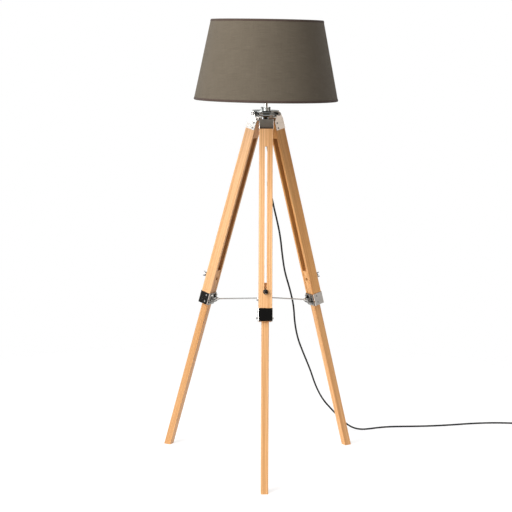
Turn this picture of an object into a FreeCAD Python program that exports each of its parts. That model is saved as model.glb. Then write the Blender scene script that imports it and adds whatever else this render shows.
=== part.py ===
"""Wooden tripod floor lamp with a tapered fabric shade and three telescopic legs.

Millimetres, +Z up, floor at Z = 0. The front leg points to -Y. The origin is the middle of the
lamp's footprint box, so the lamp's own axis stands at Y = AXIS_Y.

A leg is drawn hanging straight down from its hinge, in leg coordinates: origin on the hinge axis,
X along the hinge axis, Y towards the lamp's axis, Z up. spread() then tilts it and puts it round
the head.
"""
import FreeCAD, Part
import math
import os

from FreeCAD import Vector

os.makedirs("parts", exist_ok=True)

# ---------------------------------------------------------------- driving dimensions
TOTAL_HEIGHT = 1450.0
SHADE_BOTTOM_Z = 1196.0
SHADE_TOP_RADIUS = 180.0
SHADE_BOTTOM_RADIUS = 232.0
SPLAY = 16.0                    # tilt of a spread leg from the vertical, degrees
HINGE_RADIUS = 36.0             # hinge axis from the lamp's axis
HINGE_Z = 1152.0
LEG_ANGLES = {"front": 0.0, "right": 120.0, "left": -120.0}

# upper leg, in leg coordinates
LEG_WIDTH = 42.5
LEG_DEPTH = 33.4
LEG_OUTER_Y = -11.7             # outer face; the inner face is LEG_DEPTH further in
LEG_TOP = -19.0
LEG_BOTTOM = -663.0
GROOVE_WIDTH = 24.2
GROOVE_TOP = -78.0
GROOVE_FLOOR = 8.6              # wood left outside the groove
SLOT_WIDTH = 7.6
SLOT_TOP = -106.0
EDGE = 1.5                      # eased edges of the wood

# lower leg and its clamp
BAR_WIDTH = 23.2
BAR_DEPTH = 23.8
BAR_GAP = 0.35                  # from the groove's floor
CLAMP_Z = -572.0                # clamp bolt, leg fully extended
BAR_ABOVE_CLAMP = 30.0
CLAMP_RADIUS = 3.0

HEAD_RECESS = 5.6               # counterbore of the bolt's head in the lower leg
HEAD_RECESS_DEPTH = 6.0
BOLT_HEAD_RADIUS = 5.0
BOLT_HEAD_HEIGHT = 2.8
WASHER_RADIUS = 8.2
WASHER_THICKNESS = 1.5
NUT_HEIGHT = 8.0
WING = [(4.0, 1.2), (7.6, 7.0), (8.8, 17.0), (7.0, 19.4), (4.6, 14.0), (3.2, 7.5)]   # out, up from its seat
WING_THICKNESS = 2.6
GAP = 0.3                       # between pieces that move past each other

# bent plates and their screws
PLATE = 1.6
TOP_PLATE_BOTTOM = -50.0
EAR_RADIUS = 7.5
COLLAR_TOP = -623.0
COLLAR_BOTTOM = -664.0
SCREW_HEAD = 3.0                # radius of the plates' screw heads
SCREW_SHANK = 1.5
TOP_SCREWS = [(13.5, -27.0), (13.5, -44.0)]
COLLAR_SCREWS = [(10.0, -633.0), (10.0, -654.0)]

# rod bracket
CHEEK_INNER = 7.0               # half the fork's gap
CHEEK_OUTER = 11.0
CHEEK_RADIUS = 7.0
BRACKET_BASE = 4.0

# spreader
FORK_PIN_Y = 33.0               # pin of the rod bracket, in leg coordinates
FORK_PIN_Z = -641.0
FORK_PIN_RADIUS = 2.0
CROSS_PIN_RADIUS = 2.0
CROSS_BARREL = 4.3
FERRULE_RADIUS = 4.2
FERRULE_LENGTH = 17.0
ROD_EYE = 6.0
ROD_RADIUS = 2.25
ROD_RISE = 7.0                  # rods climb towards the ring, degrees
RING_RADIUS = 18.0
RING_WIRE = 2.0
HOOK_OFFSET = 10.0              # each rod passes the lamp's axis on one side, at this distance
HOOK_RADIUS = 6.0
HOOK_TURN = 120.0

# head
PLATE_RADIUS = 43.0
PLATE_THICKNESS = 3.5
PLATE_Z = HINGE_Z + EAR_RADIUS + 0.6
BOSS_RADIUS = 16.0
BOSS_BOTTOM = 1140.0
LUG_WIDTH = 21.0
LUG_NOSE = 10.5                 # radius of a lug round its hinge
HINGE_BOLT_RADIUS = 3.0
HINGE_FIT = 0.06                # radial running clearance of the hinges
BOLT_FLANGE = 5.5
BOLT_FLANGE_HEIGHT = 3.6
HINGE_NUT_FLATS = 10.0
HINGE_NUT_HEIGHT = 4.6
SPACER_RADIUS = 7.2
STEM_RADIUS = 6.5
STEM_WALL = 1.2
COLLAR_RADIUS = 10.5
COLLAR_HEIGHT = 8.5
HEAD_SCREW_CIRCLE = 14.6
HEAD_SCREW_RADIUS = 3.0
HEAD_SCREW_HEIGHT = 9.8

# light
HOLDER_Z = 1222.0               # underside of the lampholder
CAP_RADIUS = 19.0
CAP_HEIGHT = 30.0
SHELL_RADIUS = 19.6
SHELL_TOP = 1296.0
CARRIER_Z = 1262.0
BULB_CAP_RADIUS = 13.2
BULB_RADIUS = 30.0
BULB_CENTRE_Z = 1352.0
SWITCH_RADIUS = 3.0
SWITCH_TRAVEL = 5.0
CARRIER_WIRE = 2.0
FITTER_RADIUS = 27.0
RING_NUT_RADIUS = 24.4
RING_NUT_HEIGHT = 7.0
GRIPS = 24

# shade cloth
CLOTH = 0.8
LINING = 0.5
TRIM = 0.5
TRIM_HEIGHT = 7.0
RIM_WIRE = 1.8

# cord and plug; the route is in the lamp's axis coordinates
CORD_RADIUS = 3.0
RELIEF_LENGTH = 32.0
PLUG_NECK = 22.0
PLUG_LENGTH = 38.0
PLUG_HALF_HEIGHT = 6.9
PRONG_RADIUS = 2.0
PRONG_Y = 9.5
PRONG_LENGTH = 25.0
PRONG_ROOT = 6.0
CORD_ROUTE = [(0, 0, 1108), (0, 0, 1082), (7, 6, 1052), (12.5, 13, 1016), (14.6, 19.5, 968),
              (12.9, 24, 944), (12, 34.4, 914), (19.4, 43, 892), (28.6, 51.5, 870), (37, 65, 834),
              (47, 80, 797), (60.7, 103, 739), (69, 121, 676), (79, 132, 615), (98, 144, 556),
              (114, 159, 494), (119, 173, 434), (132, 193, 372), (156, 218, 312), (183, 246, 248),
              (204, 274, 186), (233, 300, 128), (272, 322, 82), (310, 341, 40), (344, 353, 11),
              (378, 353, 3), (411, 362, 3), (443, 378, 3), (481, 390, 3), (524, 395, 3), (586, 398, 3),
              (653, 406, 3), (721, 420, 3), (787, 438, 3), (850, 449, 3), (910, 452, 3), (966, 447, 3)]

BAR_OUTER_Y = LEG_OUTER_Y + GROOVE_FLOOR + BAR_GAP
LEG_INNER_Y = LEG_OUTER_Y + LEG_DEPTH
BAR_INNER_Y = BAR_OUTER_Y + BAR_DEPTH
BAR_TOP = CLAMP_Z + BAR_ABOVE_CLAMP
NUT_FACE_Y = LEG_OUTER_Y - GAP - WASHER_THICKNESS - GAP
BOLT_END_Y = NUT_FACE_Y - NUT_HEIGHT - 5.0
CROSS_PIN_Y = LEG_INNER_Y + BRACKET_BASE + 2.5
CROSS_PIN_Z = COLLAR_BOTTOM + 12.0
EYE_HALF = CHEEK_INNER - 0.4
COLLAR_Z = PLATE_Z + PLATE_THICKNESS
BULB_FOOT = HOLDER_Z + CAP_HEIGHT + 7.0
PLUG_LIFT = PLUG_HALF_HEIGHT - CORD_RADIUS
SIN, COS = math.sin(math.radians(SPLAY)), math.cos(math.radians(SPLAY))


def foot_reach():
    """Distance from the lamp's axis to the outer edge of a foot, on the floor."""
    drop = (HINGE_Z - BAR_OUTER_Y * SIN) / COS
    return HINGE_RADIUS - BAR_OUTER_Y * COS + drop * SIN


AXIS_Y = (foot_reach() - SHADE_BOTTOM_RADIUS - TRIM) / 2


# ---------------------------------------------------------------- helpers
def box(x, y, z):
    """Box from three (low, high) pairs."""
    size = [pair[1] - pair[0] for pair in (x, y, z)]
    return Part.makeBox(*size, Vector(x[0], y[0], z[0]))


def tube(outer, inner, low, high, centre=(0.0, 0.0)):
    """Vertical tube, or a rod where inner is 0."""
    base = Vector(centre[0], centre[1], low)
    body = Part.makeCylinder(outer, high - low, base)
    if inner:
        body = body.cut(Part.makeCylinder(inner, high - low, base))
    return body


def pin_x(radius, start, end, y, z):
    return Part.makeCylinder(radius, end - start, Vector(start, y, z), Vector(1, 0, 0))


def pin_y(radius, start, end, z, x=0.0):
    return Part.makeCylinder(radius, end - start, Vector(x, start, z), Vector(0, 1, 0))


def hexagon(across_flats, height, base, axis, spin=0.0):
    """Hexagonal prism along axis, which is X, Y or Z."""
    circle = across_flats / math.sqrt(3)
    corners = [Vector(circle * math.cos(math.radians(60 * i + spin)),
                      circle * math.sin(math.radians(60 * i + spin)), 0) for i in range(7)]
    prism = Part.Face(Part.makePolygon(corners)).extrude(Vector(0, 0, height))
    prism.Placement = FreeCAD.Placement(base, FreeCAD.Rotation(Vector(0, 0, 1), axis))
    return prism


def ease(shape, size, direction=Vector(0, 0, 1), shortest=60.0):
    """Round the long straight edges that run in direction."""
    edges = [edge for edge in shape.Edges
             if edge.Length > shortest and isinstance(edge.Curve, Part.Line)
             and abs(edge.Curve.Direction.dot(direction)) > 0.999]
    return shape.makeFillet(size, edges)


def revolve(points):
    """Solid of revolution about Z from (radius, z) points."""
    outline = [Vector(r, 0, z) for r, z in points]
    outline.append(outline[0])
    return Part.Face(Part.makePolygon(outline)).revolve(Vector(0, 0, 0), Vector(0, 0, 1), 360)


def ring(radius, wire, z):
    return Part.makeTorus(radius, wire, Vector(0, 0, z), Vector(0, 0, 1))


def sweep(path, radius):
    """Round bar along a wire of tangent edges."""
    first = path.Edges[0]
    start = first.valueAt(first.FirstParameter)
    heading = first.tangentAt(first.FirstParameter)
    section = Part.Wire(Part.makeCircle(radius, start, heading))
    return path.makePipeShell([section], True, False)


def group(shapes):
    return Part.makeCompound(shapes)


def around(shape, angle):
    """Copy of a shape turned about the lamp's axis."""
    copy = shape.copy()
    copy.rotate(Vector(0, 0, 0), Vector(0, 0, 1), angle)
    return copy


def spread(shape, angle):
    """Put a shape from leg coordinates where its leg stands."""
    copy = shape.copy()
    copy.rotate(Vector(0, 0, 0), Vector(1, 0, 0), -SPLAY)
    copy.translate(Vector(0, -HINGE_RADIUS, HINGE_Z))
    return around(copy, angle)


def save(name, shape):
    """Write one node in the lamp's frame."""
    placed = shape.copy()
    placed.translate(Vector(0, AXIS_Y, 0))
    solids = placed.Solids
    out = solids[0] if len(solids) == 1 else Part.makeCompound(solids)
    out.exportStep("parts/" + name + ".step")
    print(name, len(solids), "solids", round(out.Volume / 1000, 2), "cm3", out.isValid())


# ---------------------------------------------------------------- legs
def upper_leg():
    half = LEG_WIDTH / 2
    wood = box((-half, half), (LEG_OUTER_Y, LEG_INNER_Y), (LEG_BOTTOM, LEG_TOP))
    wood = ease(wood, EDGE)
    floor = LEG_OUTER_Y + GROOVE_FLOOR
    groove = box((-GROOVE_WIDTH / 2, GROOVE_WIDTH / 2), (floor, LEG_INNER_Y + 1),
                 (LEG_BOTTOM - 1, GROOVE_TOP))
    slot_half = SLOT_WIDTH / 2
    slot_end = SLOT_TOP - slot_half
    slot = box((-slot_half, slot_half), (LEG_OUTER_Y - 1, floor + 1), (CLAMP_Z, slot_end))
    slot = slot.fuse(pin_y(slot_half, LEG_OUTER_Y - 1, floor + 1, CLAMP_Z))
    slot = slot.fuse(pin_y(slot_half, LEG_OUTER_Y - 1, floor + 1, slot_end))
    return wood.cut(groove).cut(slot)


def bent_plate(top, bottom, inner_y):
    """Plate bent round the outer face and both sides of the leg."""
    half = LEG_WIDTH / 2
    outside = box((-half - PLATE, half + PLATE), (LEG_OUTER_Y - PLATE, inner_y), (bottom, top))
    outside = ease(outside, PLATE, shortest=20.0)
    hollow = box((-half, half), (LEG_OUTER_Y, inner_y + PLATE + 1), (bottom - 1, top + 1))
    return outside.cut(hollow)


def ear(x):
    """Side ear of the top bracket, from the plate up to the hinge."""
    back = LEG_INNER_Y
    front = LEG_OUTER_Y - PLATE + 1.0
    shoulder = LEG_TOP - 3.0
    corners = [Vector(x, y, z) for y, z in ((-EAR_RADIUS, 0), (front, LEG_TOP), (front, shoulder),
                                            (back, shoulder), (EAR_RADIUS, 0))]
    outline = [Part.LineSegment(a, b).toShape() for a, b in zip(corners, corners[1:])]
    outline.append(Part.Arc(corners[-1], Vector(x, 0, EAR_RADIUS), corners[0]).toShape())
    return Part.Face(Part.Wire(outline)).extrude(Vector(PLATE, 0, 0))


def top_bracket():
    half = LEG_WIDTH / 2
    plate = bent_plate(LEG_TOP, TOP_PLATE_BOTTOM, LEG_INNER_Y)
    for x in (-half - PLATE, half):
        plate = plate.fuse(ear(x))
    hole = pin_x(HINGE_BOLT_RADIUS + HINGE_FIT, -LEG_WIDTH, LEG_WIDTH, 0, 0)
    return plate.cut(hole).removeSplitter()


def foot_collar():
    return bent_plate(COLLAR_TOP, COLLAR_BOTTOM, LEG_INNER_Y)


def rod_bracket():
    """Cast fork on the inner side of the collar, closing the groove."""
    front = LEG_INNER_Y + BRACKET_BASE
    half = LEG_WIDTH / 2 - 2.0
    cast = box((-half, half), (LEG_INNER_Y, front), (COLLAR_BOTTOM, COLLAR_TOP))
    cast = cast.makeFillet(1.2, [e for e in cast.Edges if abs(e.CenterOfMass.y - front) < 0.01])
    for side in (-1, 1):
        low, high = sorted((side * CHEEK_INNER, side * CHEEK_OUTER))
        cheek = pin_x(CHEEK_RADIUS, low, high, FORK_PIN_Y, FORK_PIN_Z)
        web = box((low, high), (LEG_INNER_Y + 1, FORK_PIN_Y),
                  (FORK_PIN_Z - CHEEK_RADIUS, FORK_PIN_Z + CHEEK_RADIUS))
        boss = pin_y(5.0, LEG_INNER_Y + 1, front + 5.0, COLLAR_TOP - 7.0, side * 12.0)
        cast = cast.fuse(cheek).fuse(web).fuse(boss)
    cast = cast.fuse(pin_x(CROSS_BARREL, -half, half, CROSS_PIN_Y, CROSS_PIN_Z))
    cast = cast.cut(pin_x(ROD_EYE + GAP, -CHEEK_INNER, CHEEK_INNER, FORK_PIN_Y, FORK_PIN_Z))
    cast = cast.cut(pin_x(CROSS_PIN_RADIUS, -LEG_WIDTH, LEG_WIDTH, CROSS_PIN_Y, CROSS_PIN_Z))
    return cast.cut(pin_x(FORK_PIN_RADIUS, -LEG_WIDTH, LEG_WIDTH, FORK_PIN_Y, FORK_PIN_Z)).removeSplitter()


def plate_screw(side, y, z):
    """Domed screw through a side plate into the wood, with a cross recess."""
    face = LEG_WIDTH / 2 + PLATE
    dome = 1.25 * SCREW_HEAD
    head = Part.makeSphere(dome, Vector(face - 0.75 * SCREW_HEAD, y, z))
    head = head.common(pin_x(SCREW_HEAD, face, face + SCREW_HEAD, y, z))
    tip = face - 0.75 * SCREW_HEAD + dome
    for wide, tall in ((0.35, 1.7), (1.7, 0.35)):
        head = head.cut(box((tip - 0.9, tip + 1), (y - wide, y + wide), (z - tall, z + tall)))
    screw = head.fuse(pin_x(SCREW_SHANK, face - PLATE, face + 0.2, y, z))
    return screw if side > 0 else screw.mirror(Vector(0, 0, 0), Vector(1, 0, 0))


def screw_holes(places):
    return [pin_x(SCREW_SHANK, -LEG_WIDTH, LEG_WIDTH, y, z) for y, z in places]


def headed_pin(radius, half, head, thickness, y, z):
    """Pin along X with a flat head at each end."""
    pin = pin_x(radius, -half, half, y, z)
    for x in (-half - thickness, half):
        pin = pin.fuse(pin_x(head, x, x + thickness, y, z))
    return pin


def fixings():
    pieces = [plate_screw(side, y, z) for side in (-1, 1) for y, z in TOP_SCREWS + COLLAR_SCREWS]
    pieces.append(headed_pin(FORK_PIN_RADIUS, CHEEK_OUTER + 1.2, 3.4, 1.2, FORK_PIN_Y, FORK_PIN_Z))
    outside = LEG_WIDTH / 2 + PLATE
    pieces.append(headed_pin(CROSS_PIN_RADIUS, outside + 2.0, 3.2, 2.4, CROSS_PIN_Y, CROSS_PIN_Z))
    return group(pieces)


def lower_leg():
    half = BAR_WIDTH / 2
    length = HINGE_Z / COS + 40.0
    bar = box((-half, half), (BAR_OUTER_Y, BAR_INNER_Y), (-length, BAR_TOP))
    bar = ease(bar, EDGE)
    bar = bar.cut(pin_y(HEAD_RECESS, BAR_INNER_Y - HEAD_RECESS_DEPTH, BAR_INNER_Y + 1, CLAMP_Z))
    return bar.cut(pin_y(CLAMP_RADIUS, BAR_OUTER_Y - 1, BAR_INNER_Y + 1, CLAMP_Z))


def cut_to_floor(shape):
    reach = 2 * foot_reach()
    return shape.cut(box((-reach, reach), (-reach, reach), (-200.0, 0.0)))


def clamp_bolt():
    """Bolt through the lower leg and the slot, its domed head sunk in the wood."""
    seat = BAR_INNER_Y - HEAD_RECESS_DEPTH
    shank = pin_y(CLAMP_RADIUS, BOLT_END_Y, seat + 0.1, CLAMP_Z)
    dome = (BOLT_HEAD_RADIUS ** 2 + BOLT_HEAD_HEIGHT ** 2) / (2 * BOLT_HEAD_HEIGHT)
    head = Part.makeSphere(dome, Vector(0, seat + BOLT_HEAD_HEIGHT - dome, CLAMP_Z))
    head = head.common(pin_y(BOLT_HEAD_RADIUS, seat, seat + BOLT_HEAD_HEIGHT + 1, CLAMP_Z))
    return shank.fuse(head).removeSplitter()


def clamp_washer():
    high = LEG_OUTER_Y - GAP
    return pin_y(WASHER_RADIUS, high - WASHER_THICKNESS, high, CLAMP_Z).cut(
        pin_y(CLAMP_RADIUS + 0.2, high - 5, high + 5, CLAMP_Z))


def wing_nut():
    low = NUT_FACE_Y - NUT_HEIGHT
    nut = Part.makeCone(6.6, 5.2, NUT_HEIGHT, Vector(0, NUT_FACE_Y, CLAMP_Z), Vector(0, -1, 0))
    for side in (-1, 1):
        corners = [Vector(0, NUT_FACE_Y - up, CLAMP_Z + side * out) for out, up in WING]
        corners.append(corners[0])
        wing = Part.Face(Part.makePolygon(corners)).extrude(Vector(WING_THICKNESS, 0, 0))
        wing.translate(Vector(-WING_THICKNESS / 2, 0, 0))
        free = [e for e in wing.Edges if abs(e.CenterOfMass.x) > 0.49 * WING_THICKNESS
                and e.CenterOfMass.y < NUT_FACE_Y - NUT_HEIGHT - 2.0]
        wing = wing.makeFillet(0.8, free)
        nut = nut.fuse(wing)
    return nut.cut(pin_y(CLAMP_RADIUS + 0.05, low - 20, NUT_FACE_Y + 1, CLAMP_Z)).removeSplitter()


# ---------------------------------------------------------------- spreader
def pin_point():
    """Radius and height of the fork pin with the legs spread."""
    radius = HINGE_RADIUS - FORK_PIN_Z * SIN - FORK_PIN_Y * COS
    return radius, HINGE_Z + FORK_PIN_Z * COS - FORK_PIN_Y * SIN


def ring_height():
    """Height of the ring's wire where the rods' hooks lie over it."""
    radius, height = pin_point()
    rise = math.radians(ROD_RISE)
    over = math.sqrt(RING_RADIUS ** 2 - HOOK_OFFSET ** 2)
    return height + (radius - over) * math.tan(rise) - HOOK_RADIUS / math.cos(rise)


def spreader_rod():
    """Rod of the front leg, seated over the ring, in the lamp's coordinates.

    It is drawn in its own plane, with U along the rod and V square to it, then turned about the
    fork pin. The plane leans sideways, so that the hook passes the axis at HOOK_OFFSET.
    """
    radius, height = pin_point()
    rise = math.radians(ROD_RISE)
    over = math.sqrt(RING_RADIUS ** 2 - HOOK_OFFSET ** 2)
    along = (radius - over) * math.cos(rise) + (ring_height() - height) * math.sin(rise)
    bend = FERRULE_LENGTH - 2.0
    lean = HOOK_OFFSET / (along - bend)

    def place(u, v):
        return Vector(lean * max(u - bend, 0.0), u, v)

    turn = math.radians(HOOK_TURN)
    centre_v = -HOOK_RADIUS
    middle = place(along + HOOK_RADIUS * math.sin(turn / 2), centre_v + HOOK_RADIUS * math.cos(turn / 2))
    end = place(along + HOOK_RADIUS * math.sin(turn), centre_v + HOOK_RADIUS * math.cos(turn))
    shank = Part.LineSegment(place(bend, 0), place(along, 0)).toShape()
    hook = Part.Arc(place(along, 0), middle, end).toShape()
    bar = sweep(Part.Wire([shank, hook]), ROD_RADIUS)
    bar = bar.fuse(Part.makeSphere(ROD_RADIUS, end))
    ferrule = Part.makeCylinder(FERRULE_RADIUS, FERRULE_LENGTH, Vector(0, 0, 0), Vector(0, 1, 0))
    nose = [e for e in ferrule.Edges if abs(e.CenterOfMass.y - FERRULE_LENGTH) < 0.01]
    ferrule = ferrule.makeFillet(1.2, nose)
    eye = pin_x(ROD_EYE, -EYE_HALF, EYE_HALF, 0, 0)
    rod = bar.fuse(ferrule).fuse(eye).cut(pin_x(FORK_PIN_RADIUS + HINGE_FIT, -LEG_WIDTH, LEG_WIDTH, 0, 0))
    rod = rod.removeSplitter()
    rod.rotate(Vector(0, 0, 0), Vector(1, 0, 0), ROD_RISE)
    rod.translate(Vector(0, -radius, height))
    return rod


# ---------------------------------------------------------------- head
def head_plate():
    top = PLATE_Z + PLATE_THICKNESS
    disc = tube(PLATE_RADIUS, 0, PLATE_Z, top)
    rim = [e for e in disc.Edges if e.BoundBox.ZLength < 0.01 and e.BoundBox.ZMin > top - 0.01]
    disc = disc.makeFillet(1.2, rim)
    casting = disc.fuse(tube(BOSS_RADIUS, 0, BOSS_BOTTOM, PLATE_Z + 1))
    half = LUG_WIDTH / 2
    for angle in LEG_ANGLES.values():
        lug = box((-half, half), (-HINGE_RADIUS, 0), (HINGE_Z - LUG_NOSE, PLATE_Z + 1))
        lug = lug.fuse(pin_x(LUG_NOSE, -half, half, -HINGE_RADIUS, HINGE_Z))
        lug = lug.common(tube(PLATE_RADIUS + LUG_NOSE, 0, HINGE_Z - LUG_NOSE, PLATE_Z + 1))
        casting = casting.fuse(around(lug, angle))
    for angle in LEG_ANGLES.values():
        hole = pin_x(HINGE_BOLT_RADIUS, -LEG_WIDTH, LEG_WIDTH, -HINGE_RADIUS, HINGE_Z)
        hole = hole.common(box((-half - 1, half + 1), (-HINGE_RADIUS - 10, 0), (HINGE_Z - 10, HINGE_Z + 10)))
        casting = casting.cut(around(hole, angle))
    return casting.cut(tube(STEM_RADIUS, 0, BOSS_BOTTOM - 1, top + 1)).removeSplitter()


def hinge_bolts():
    """Bolts with rounded heads and a screwdriver slot."""
    face = LEG_WIDTH / 2 + PLATE + 0.4
    top = face + BOLT_FLANGE_HEIGHT
    shank = pin_x(HINGE_BOLT_RADIUS, -face - HINGE_NUT_HEIGHT - 1.0, face, -HINGE_RADIUS, HINGE_Z)
    head = pin_x(BOLT_FLANGE, face, top, -HINGE_RADIUS, HINGE_Z)
    head = head.makeFillet(1.4, [e for e in head.Edges if abs(e.CenterOfMass.x - top) < 0.01])
    slot = box((top - 1.3, top + 1), (-0.6, 0.6), (-8, 8))
    slot.translate(Vector(0, -HINGE_RADIUS, HINGE_Z))
    head = head.cut(slot)
    return group([around(shank.fuse(head).removeSplitter(), angle) for angle in LEG_ANGLES.values()])


def hinge_nuts():
    face = LEG_WIDTH / 2 + PLATE + 0.4
    nut = hexagon(HINGE_NUT_FLATS, HINGE_NUT_HEIGHT, Vector(-face, -HINGE_RADIUS, HINGE_Z), Vector(-1, 0, 0))
    nut = nut.cut(pin_x(HINGE_BOLT_RADIUS, -LEG_WIDTH, 0, -HINGE_RADIUS, HINGE_Z))
    return group([around(nut, angle) for angle in LEG_ANGLES.values()])


def hinge_spacers():
    low, high = LUG_WIDTH / 2, LEG_WIDTH / 2 - 0.35
    pieces = []
    for start, end in ((low, high), (-high, -low)):
        sleeve = pin_x(SPACER_RADIUS, start, end, -HINGE_RADIUS, HINGE_Z)
        sleeve = sleeve.cut(pin_x(HINGE_BOLT_RADIUS, start - 1, end + 1, -HINGE_RADIUS, HINGE_Z))
        pieces += [around(sleeve, angle) for angle in LEG_ANGLES.values()]
    return group(pieces)


def head_collar():
    top = COLLAR_Z + COLLAR_HEIGHT
    collar = tube(COLLAR_RADIUS, STEM_RADIUS, COLLAR_Z, top)
    return collar.makeFillet(1.8, [e for e in collar.Edges if e.BoundBox.ZMin > top - 0.1
                                   and e.BoundBox.XLength > 2 * COLLAR_RADIUS - 1])


def head_screws():
    """Tall socket screws round the collar."""
    top = COLLAR_Z + HEAD_SCREW_HEIGHT
    pieces = []
    for angle in LEG_ANGLES.values():
        screw = tube(HEAD_SCREW_RADIUS, 0, COLLAR_Z, top, (0, -HEAD_SCREW_CIRCLE))
        rim = [e for e in screw.Edges if e.BoundBox.ZMin > top - 0.1]
        screw = screw.makeFillet(0.5, rim)
        socket = hexagon(3.0, 3.0, Vector(0, -HEAD_SCREW_CIRCLE, top - 2.8), Vector(0, 0, 1))
        pieces.append(around(screw.cut(socket), angle))
    return group(pieces)


def stem_tube():
    return tube(STEM_RADIUS, STEM_RADIUS - STEM_WALL, BOSS_BOTTOM, HOLDER_Z)


def cable_gland():
    """Rubber bush in the stem's foot, drawn out into a tapered sleeve round the cord."""
    bore = STEM_RADIUS - STEM_WALL
    tip, flange = BOSS_BOTTOM - RELIEF_LENGTH, BOSS_BOTTOM - 5
    outline = [(0, tip), (CORD_RADIUS + 0.9, tip), (bore + 1.6, flange), (bore + 2.2, flange),
               (bore + 2.2, BOSS_BOTTOM), (bore, BOSS_BOTTOM), (bore, BOSS_BOTTOM + 10),
               (0, BOSS_BOTTOM + 10)]
    return revolve(outline)


# ---------------------------------------------------------------- lampholder and bulb
def lampholder_cap():
    top = HOLDER_Z + CAP_HEIGHT
    outline = [(STEM_RADIUS + 2.5, HOLDER_Z), (CAP_RADIUS - 5, HOLDER_Z), (CAP_RADIUS, HOLDER_Z + 6),
               (CAP_RADIUS, top), (CAP_RADIUS - 2, top), (CAP_RADIUS - 2, HOLDER_Z + 7),
               (CAP_RADIUS - 6, HOLDER_Z + 3), (STEM_RADIUS + 2.5, HOLDER_Z + 3)]
    cap = revolve(outline).fuse(tube(STEM_RADIUS + 3.0, 0, HOLDER_Z, HOLDER_Z + 3))
    return cap.cut(pin_x(SWITCH_RADIUS + 0.1, -50, 50, 0, HOLDER_Z + 15)).removeSplitter()


def switch_bar():
    """Push bar through the cap: pushed in from either end."""
    low = -CAP_RADIUS - 1.0
    bar = pin_x(SWITCH_RADIUS, low, CAP_RADIUS + 1.0 + SWITCH_TRAVEL, 0, HOLDER_Z + 15)
    rims = [e for e in bar.Edges if e.BoundBox.XLength < 0.01]
    return bar.makeFillet(0.8, rims)


def lampholder_shell():
    low = HOLDER_Z + CAP_HEIGHT
    shell = tube(SHELL_RADIUS, SHELL_RADIUS - 2.6, low, SHELL_TOP)
    pitch = 3.0
    z = low + 6
    while z < SHELL_TOP - 3:
        shell = shell.cut(ring(SHELL_RADIUS + 0.25, 0.7, z))
        z += pitch
    return shell


def lampholder_core():
    low = HOLDER_Z + CAP_HEIGHT - 6
    core = tube(16.6, 0, low, low + 9).fuse(tube(16.6, 14.2, low + 9, SHELL_TOP - 13))
    return core.removeSplitter()


def lampholder_contacts():
    low = HOLDER_Z + CAP_HEIGHT + 3.0
    centre = box((-2.5, 2.5), (-2.0, 2.0), (low, BULB_FOOT))
    side = box((-2.5, 2.5), (13.2, 13.9), (low, low + 16))
    return group([centre, side])


def bulb_cap():
    cap = tube(BULB_CAP_RADIUS - 0.9, 0, BULB_FOOT + 3, BULB_FOOT + 27)
    z = BULB_FOOT + 6
    while z < BULB_FOOT + 22:
        cap = cap.fuse(ring(BULB_CAP_RADIUS - 1.2, 1.0, z))
        z += 3.6
    return cap.fuse(Part.makeCone(5, BULB_CAP_RADIUS - 0.9, 3, Vector(0, 0, BULB_FOOT))).removeSplitter()


def bulb_glass():
    neck = BULB_CAP_RADIUS + 0.4
    base = BULB_FOOT + 27
    foot = Part.LineSegment(Vector(0, 0, base), Vector(neck, 0, base)).toShape()
    curve = Part.BSplineCurve()
    reach = math.sqrt(0.5) * BULB_RADIUS
    low = BULB_CENTRE_Z - reach
    curve.interpolate([Vector(neck, 0, base), Vector(neck + 1.5, 0, base + 10), Vector(reach, 0, low)],
                      InitialTangent=Vector(0, 0, 1), FinalTangent=Vector(1, 0, 1))
    dome = Part.Arc(Vector(reach, 0, low), Vector(BULB_RADIUS, 0, BULB_CENTRE_Z),
                    Vector(0, 0, BULB_CENTRE_Z + BULB_RADIUS)).toShape()
    axis = Part.LineSegment(Vector(0, 0, BULB_CENTRE_Z + BULB_RADIUS), Vector(0, 0, base)).toShape()
    profile = Part.Face(Part.Wire([foot, curve.toShape(), dome, axis]))
    return profile.revolve(Vector(0, 0, 0), Vector(0, 0, 1), 360)


# ---------------------------------------------------------------- shade
def shade_radius(z):
    share = (z - SHADE_BOTTOM_Z) / (TOTAL_HEIGHT - SHADE_BOTTOM_Z)
    return SHADE_BOTTOM_RADIUS + share * (SHADE_TOP_RADIUS - SHADE_BOTTOM_RADIUS)


def cone_skin(outside, inside, low, high):
    """Band of the shade between two offsets from its outer face."""
    points = [(shade_radius(low) + outside, low), (shade_radius(high) + outside, high),
              (shade_radius(high) + inside, high), (shade_radius(low) + inside, low)]
    return revolve(points)


def carrier_arm():
    """Wire arm from the fitter ring down and out to the bottom ring wire."""
    rim = shade_radius(SHADE_BOTTOM_Z + RIM_WIRE) - CLOTH - LINING - 2 * RIM_WIRE
    low = SHADE_BOTTOM_Z + 2.2
    start = Vector(0, -RING_NUT_RADIUS - 0.4, CARRIER_Z)
    knee = Vector(0, -FITTER_RADIUS - 12.0, CARRIER_Z)
    end = Vector(0, -rim + 0.5, low + 1.5)
    slope = (end - knee).normalize()
    bend = 9.0
    first = knee + Vector(0, bend, 0)
    last = knee + slope * bend
    inward = (Vector(0, 1, 0) + slope).normalize()
    turn = math.acos(Vector(0, -1, 0).dot(slope))
    radius = bend / math.tan(turn / 2)
    centre = knee + inward * (radius / math.cos(turn / 2))
    middle = centre + (knee - centre).normalize() * radius
    path = Part.Wire([Part.LineSegment(start, first).toShape(), Part.Arc(first, middle, last).toShape(),
                      Part.LineSegment(last, end).toShape()])
    return sweep(path, CARRIER_WIRE)


def shade_carrier():
    fitter = tube(FITTER_RADIUS, SHELL_RADIUS + 0.5, CARRIER_Z - 1.0, CARRIER_Z + 1.0)
    for angle in LEG_ANGLES.values():
        fitter = fitter.fuse(around(carrier_arm(), angle + 60))
    return fitter.removeSplitter()


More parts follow.
